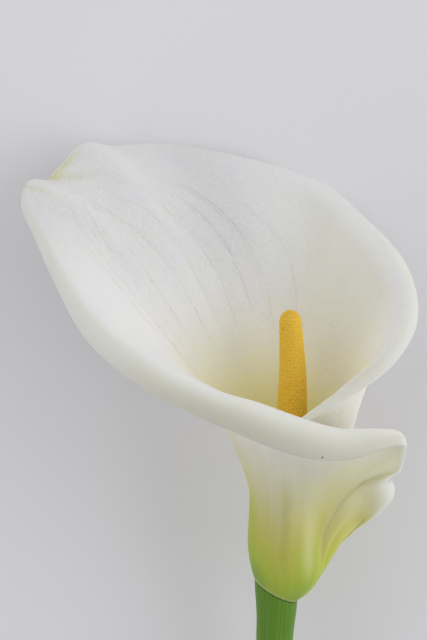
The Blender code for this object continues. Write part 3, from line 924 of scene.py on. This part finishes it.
def spathe_material():
    """Waxy plant skin: satin, slightly see-through, white above and yellow-green round the tube."""
    made, tree, shader = new_material("waxy_spathe_skin")
    put = partial(add, tree)
    veins = put("Attribute", attribute_name="veins", out="Vector")
    # fine lengthwise streaks, about one every 1 to 2 mm on the tube, and broad ones
    place = put("VectorMath", {0: veins, 1: (0.35, 0.012, 1.0)}, operation="MULTIPLY")
    streaks = put("TexNoise", {"Vector": place, "Scale": 1.0, "Detail": 4.0, "Roughness": 0.6})
    place = put("VectorMath", {0: veins, 1: (0.06, 0.010, 1.0)}, operation="MULTIPLY")
    broad = put("TexNoise", {"Vector": place, "Scale": 1.0, "Detail": 2.0, "Roughness": 0.5})

    # crepe about 0.8 mm apart, the creases over it, and the faint relief of the streaks
    place = put("Attribute", attribute_name="crepe_place", out="Vector")
    crepe = put("TexNoise", {"Vector": place, "Scale": 1.3, "Detail": 3.0, "Roughness": 0.6})
    strength = put("Attribute", attribute_name="crepe", out="Fac")
    strength = put("Math", {0: strength, 1: 0.15}, operation="ADD")
    crepe = put("Math", {0: crepe, 1: strength}, operation="MULTIPLY")
    relief = put("Bump", {"Height": crepe, "Distance": 0.0008, "Strength": 0.9})
    relief = put("Bump", {"Height": crease_height(put, veins), "Distance": 0.0006, "Strength": 0.8,
                          "Normal": relief})
    relief = put("Bump", {"Height": streaks, "Distance": 0.0002, "Strength": 0.3, "Normal": relief})
    fill(tree, shader, {
        "Base Color": spathe_colour(put, streaks, broad),
        "Normal": relief,
        "Roughness": put("MapRange", {"Value": broad, "From Min": 0.3, "From Max": 0.7,
                                      "To Min": 0.42, "To Max": 0.52},
                         interpolation_type="SMOOTHSTEP"),
        "Subsurface Weight": 0.9,
        "Subsurface Radius": (1.0, 0.95, 0.6),
        "Subsurface Scale": 0.0025,
        "IOR": 1.42,
        "Specular IOR Level": 0.35,
    })
    return made


def anther_material():
    """Ripe anthers dusted with pollen: matt, golden, with dark pores between them."""
    made, tree, shader = new_material("pollen_dusted_anthers")
    put = partial(add, tree)
    tone, seam, pit = (put("Attribute", attribute_name=name, out="Fac")
                       for name in ("tone", "seam", "pit"))
    body = put("ValToRGB", {"Fac": tone},
               stops=[(0.0, "#F2BC26"), (0.5, "#F8C830"), (1.0, "#FBD03E")])
    # heaps of pollen about 0.4 mm apart
    place = put("TexCoord", out="Object")
    grain = put("TexNoise", {"Vector": place, "Scale": 2500.0, "Detail": 2.0, "Roughness": 0.6})
    dust = put("MapRange", {"Value": grain, "From Min": 0.35, "From Max": 0.7, "To Max": 0.35},
               interpolation_type="SMOOTHSTEP")
    seam = put("Math", {0: seam, 1: 0.15}, operation="MULTIPLY")
    ripe = put("MapRange", {"Value": tone, "From Min": 0.35, "From Max": 0.75, "To Min": 0.1},
               interpolation_type="SMOOTHSTEP")
    pore = put("Math", {0: pit, 1: ripe}, operation="MULTIPLY")
    for amount, tint in ((dust, "#FFE07A"), (seam, "#DDA01C"), (pore, "#9A6A14")):
        body = put("Mix", {0: amount, 6: body, 7: linear(tint)}, out=2, data_type="RGBA")
    fill(tree, shader, {
        "Base Color": body,
        "Normal": put("Bump", {"Height": grain, "Distance": 0.0001, "Strength": 0.5}),
        "Roughness": 0.8,
        "Subsurface Weight": 0.1,
        "Subsurface Radius": (1.0, 0.6, 0.2),
        "Subsurface Scale": 0.0008,
    })
    return made


def ovary_material():
    """Small smooth ovaries: pale green, satin, darker where they meet."""
    made, tree, shader = new_material("pale_green_ovaries")
    put = partial(add, tree)
    tone, seam = (put("Attribute", attribute_name=name, out="Fac") for name in ("tone", "seam"))
    body = put("ValToRGB", {"Fac": tone}, stops=[(0.0, "#BFC77E"), (1.0, "#D3D79C")])
    seam = put("Math", {0: seam, 1: 0.5}, operation="MULTIPLY")
    fill(tree, shader, {
        "Base Color": put("Mix", {0: seam, 6: body, 7: linear("#8C9A4A")}, out=2, data_type="RGBA"),
        "Roughness": 0.45,
        "Subsurface Weight": 0.2,
        "Subsurface Radius": (0.8, 1.0, 0.4),
        "Subsurface Scale": 0.001,
    })
    return made


def stem_material():
    """Smooth green stem skin with fine lengthwise fibres, and the pale spongy face of its cut."""
    made, tree, shader = new_material("green_stem_skin")
    put = partial(add, tree)
    # fibres about 0.6 mm apart round the stem
    skin = put("Attribute", attribute_name="skin", out="Vector")
    place = put("VectorMath", {0: skin, 1: (0.18, 0.02, 1.0)}, operation="MULTIPLY")
    fibres = put("TexNoise", {"Vector": place, "Scale": 1.0, "Detail": 4.0, "Roughness": 0.6})
    body = put("ValToRGB", {"Fac": fibres},
               stops=[(0.3, "#557F1E"), (0.5, "#5F8A24"), (0.7, "#6E9832")])
    height = put("Attribute", attribute_name="height", out="Fac")
    pale = put("MapRange", {"Value": height, "From Min": -125.0, "From Max": -138.0, "To Max": 0.3},
               interpolation_type="SMOOTHSTEP")
    body = put("Mix", {0: pale, 6: body, 7: linear("#93A860")}, out=2, data_type="RGBA")
    # pith with pores about 0.6 mm across
    place = put("TexCoord", out="Object")
    sponge = put("TexNoise", {"Vector": place, "Scale": 1600.0, "Detail": 3.0, "Roughness": 0.6})
    face = put("ValToRGB", {"Fac": sponge},
               stops=[(0.3, "#A9B878"), (0.6, "#D2D8AE"), (0.8, "#E2E6CA")])
    cut_share = put("Attribute", attribute_name="cut_share", out="Fac")
    on_cut = put("MapRange", {"Value": cut_share, "From Min": 0.99, "From Max": 0.95},
                 interpolation_type="SMOOTHSTEP")
    pores = put("Math", {0: sponge, 1: on_cut}, operation="MULTIPLY")
    relief = put("Bump", {"Height": fibres, "Distance": 0.0003, "Strength": 0.4})
    relief = put("Bump", {"Height": pores, "Distance": 0.0004, "Strength": 0.5, "Normal": relief})
    fill(tree, shader, {
        "Base Color": put("Mix", {0: on_cut, 6: body, 7: face}, out=2, data_type="RGBA"),
        "Normal": relief,
        "Roughness": put("MapRange", {"Value": on_cut, "To Min": 0.45, "To Max": 0.75},
                         interpolation_type="SMOOTHSTEP"),
        "Specular IOR Level": 0.25,
        "Subsurface Weight": 0.12,
        "Subsurface Radius": (0.6, 1.0, 0.3),
        "Subsurface Scale": 0.0015,
    })
    return made


def floor_material():
    """Matt painted board, plain and pale grey."""
    made, tree, shader = new_material("pale_painted_board")
    fill(tree, shader, {
        "Base Color": linear("#EEEDF2"),
        "Roughness": 0.9,
        "Specular IOR Level": 0.1,
    })
    return made


# ---- stage ---------------------------------------------------------------------------
def make_floor():
    """One plain pale board under everything."""
    bpy.ops.object.select_all(action="DESELECT")
    bpy.ops.mesh.primitive_plane_add(size=FLOOR_SIZE, location=(0, 0, 0))
    floor = bpy.context.object
    floor.name = "floor"
    floor.data.materials.append(floor_material())


def area_light(name, place, side, power):
    """A square of white light that faces the flower."""
    data = bpy.data.lights.new(name, "AREA")
    data.shape = "SQUARE"
    data.size = side
    data.energy = power
    lamp = bpy.data.objects.new(name, data)
    bpy.context.scene.collection.objects.link(lamp)
    lamp.location = place
    lamp.rotation_euler = (Vector(LIGHT_AIM) - Vector(place)).to_track_quat("-Z", "Y").to_euler()


def make_light():
    """A large soft light from the right, weaker ones from above, and pale light all round."""
    for name, (place, side, power) in LIGHTS.items():
        area_light(name, place, side, power)
    world = bpy.data.worlds.new("studio")
    world.use_nodes = True
    sky = world.node_tree.nodes["Background"]
    sky.inputs["Color"].default_value = SKY_COLOUR
    sky.inputs["Strength"].default_value = SKY_STRENGTH
    bpy.context.scene.world = world


def make_camera():
    """In front of the upright flower and 15 degrees above it, which is above the lying one."""
    rise = math.radians(CAMERA_RISE)
    back = Vector((0, -math.cos(rise), math.sin(rise)))
    up = Vector((0, math.sin(rise), math.cos(rise)))
    right = Vector((1, 0, 0))
    place = (Vector(CAMERA_AIM) + back * CAMERA_DISTANCE) * MM
    turn = Matrix((right, up, back)).transposed().to_4x4()
    data = bpy.data.cameras.new("camera")
    data.lens = LENS
    data.sensor_width = SENSOR
    data.sensor_fit = "AUTO"
    data.clip_start = 0.01
    camera = bpy.data.objects.new("camera", data)
    bpy.context.scene.collection.objects.link(camera)
    camera.matrix_world = lie_matrix() @ Matrix.Translation(place) @ turn
    bpy.context.scene.camera = camera


def dress(piece, cad_node, surface):
    """Give a piece its material, hang it under the root and hide the CAD node it stands in for."""
    piece.data.materials.clear()
    piece.data.materials.append(surface)
    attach(piece, "root")
    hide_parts(cad_node)


def main():
    make_camera()
    dress(make_spathe(), "spathe", spathe_material())
    dress(make_floret_column("spadix_anthers", FEMALE_TOP + SEAT_GAP, SPADIX_TOP, True,
                             ANTHER_PITCH, ANTHER_RELIEF, ANTHER_DETAIL, ANTHER_SEED),
          "spadix_male_zone", anther_material())
    dress(make_floret_column("spadix_ovaries", NECK_TOP + SEAT_GAP, FEMALE_TOP, False,
                             OVARY_PITCH, OVARY_RELIEF, OVARY_DETAIL, OVARY_SEED),
          "spadix_female_zone", ovary_material())
    dress(make_stem(), "stem", stem_material())
    make_floor()
    make_light()
    bpy.context.scene.view_settings.view_transform = "Standard"


main()
